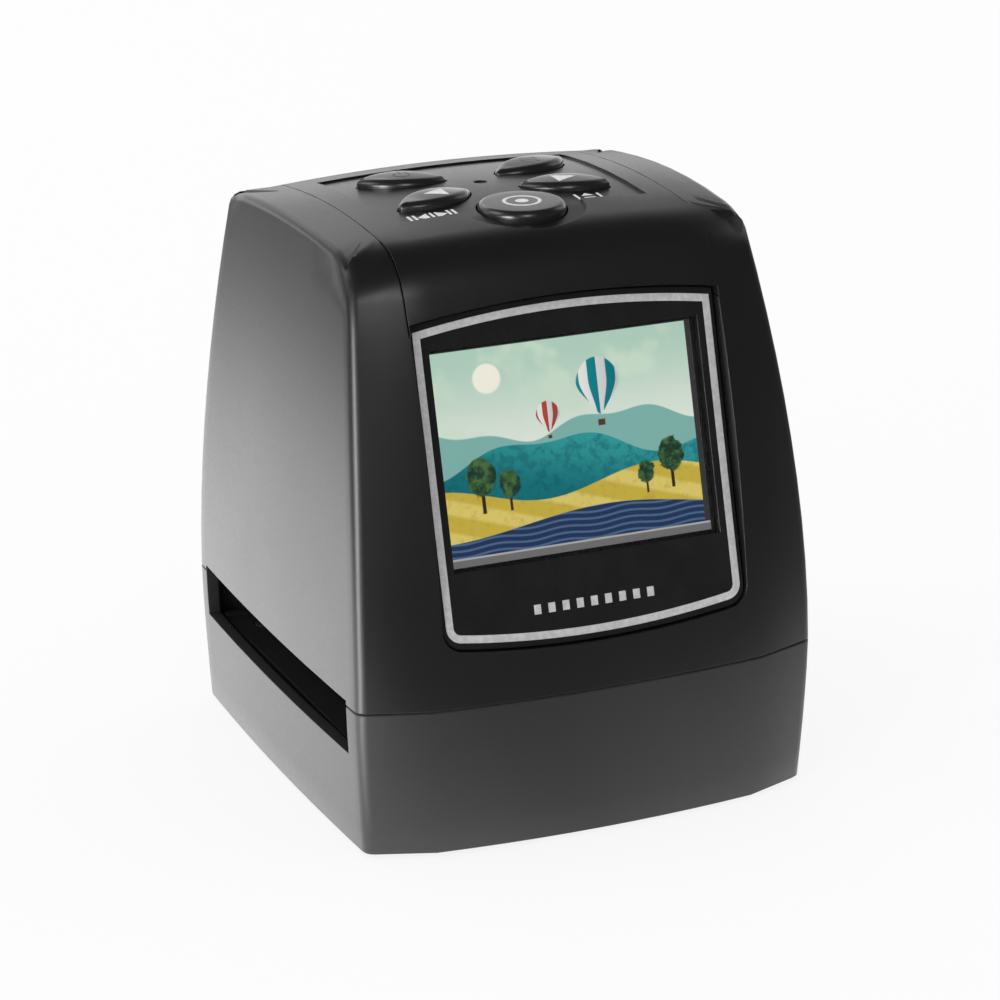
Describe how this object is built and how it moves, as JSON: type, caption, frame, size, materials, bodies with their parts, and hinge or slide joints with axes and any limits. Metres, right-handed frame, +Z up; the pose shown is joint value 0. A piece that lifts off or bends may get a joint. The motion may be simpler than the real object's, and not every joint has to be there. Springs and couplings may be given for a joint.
{
  "type": "film negative scanner",
  "caption": "Desktop film scanner: rounded two-part housing with a through film channel at the base, a small display in the leaning front and push buttons on a crowned top.",
  "frame": {"origin": "centre of the bounding box at the table, under the feet", "axes": "+Z up, the display faces -Y, +X to the right of someone facing the display"},
  "size_m": [0.0896, 0.093, 0.1087],
  "materials": {
    "base_plastic": "satin moulded charcoal plastic",
    "housing_plastic": "satin moulded black plastic",
    "foot_rubber": "matt black rubber",
    "lens_gloss": "polished black panel with a printed silver line",
    "clear_window": "clear plastic pane",
    "foam": "black foam seal",
    "tin_plate": "tinned steel",
    "display_glass": "colour display",
    "steel_plate": "zinc-plated steel",
    "switch_plastic": "black nylon",
    "plunger_plastic": "ivory acetal",
    "button_plastic": "satin moulded black plastic",
    "led_white": "white LED package",
    "guide_plastic": "matt black moulding",
    "diffuser_acrylic": "opal acrylic",
    "white_plastic": "white moulding",
    "board_white": "white solder mask",
    "board_green": "green solder mask",
    "lens_metal": "black anodised aluminium",
    "optical_glass": "coated optical glass",
    "filter_glass": "infrared-cut glass",
    "chip_plastic": "black moulded package",
    "brass_standoff": "turned brass",
    "screw_steel": "nickel-plated steel",
    "flex_film": "amber polyimide film"
  },
  "bodies": {
    "root": {"base_shell": "base_plastic", "upper_housing": "housing_plastic", "top_cover": "housing_plastic", "feet": "foot_rubber", "base_screws": "screw_steel", "display_lens": "lens_gloss", "display_window": "clear_window", "display_gasket": "foam", "lcd_frame": "tin_plate", "lcd_panel": "display_glass", "display_bracket": "steel_plate", "bracket_screws": "screw_steel", "switch_bodies": "switch_plastic", "keypad_board": "board_green", "keypad_screws": "screw_steel", "status_led": "led_white", "light_pipe": "clear_window", "film_deck": "guide_plastic", "deck_screws": "screw_steel", "light_diffuser": "diffuser_acrylic", "light_box": "white_plastic", "led_board": "board_white", "leds": "led_white", "film_gate": "guide_plastic", "lens_tower": "guide_plastic", "tower_screws": "screw_steel", "lens_barrel": "lens_metal", "front_lens": "optical_glass", "rear_lens": "optical_glass", "lens_retainers": "lens_metal", "sensor_holder": "guide_plastic", "ir_filter": "filter_glass", "image_sensor": "chip_plastic", "sensor_board": "board_green", "board_standoffs": "brass_standoff", "board_screws": "screw_steel", "main_board": "board_green", "processor_chip": "chip_plastic", "memory_chips": "chip_plastic", "usb_socket": "tin_plate", "card_slot": "tin_plate", "board_connectors": "white_plastic", "keypad_cable": "flex_film", "display_cable": "flex_film"},
    "round_key": {"round_button": "button_plastic", "round_plunger": "plunger_plastic"},
    "front_left_key": {"front_left_button": "button_plastic", "front_left_plunger": "plunger_plastic"},
    "front_right_key": {"front_right_button": "button_plastic", "front_right_plunger": "plunger_plastic"},
    "rear_left_key": {"rear_left_button": "button_plastic", "rear_left_plunger": "plunger_plastic"},
    "rear_right_key": {"rear_right_button": "button_plastic", "rear_right_plunger": "plunger_plastic"}
  },
  "joints": [
    {"name": "round_press", "type": "slide", "parent": "root", "child": "round_key", "axis": [0, 0, -1], "range_m": [0, 0.0005], "stiffness_N_per_m": 3000},
    {"name": "front_left_press", "type": "slide", "parent": "root", "child": "front_left_key", "axis": [0, 0, -1], "range_m": [0, 0.0005], "stiffness_N_per_m": 3000},
    {"name": "front_right_press", "type": "slide", "parent": "root", "child": "front_right_key", "axis": [0, 0, -1], "range_m": [0, 0.0005], "stiffness_N_per_m": 3000},
    {"name": "rear_left_press", "type": "slide", "parent": "root", "child": "rear_left_key", "axis": [0, 0, -1], "range_m": [0, 0.0005], "stiffness_N_per_m": 3000},
    {"name": "rear_right_press", "type": "slide", "parent": "root", "child": "rear_right_key", "axis": [0, 0, -1], "range_m": [0, 0.0005], "stiffness_N_per_m": 3000}
  ]
}
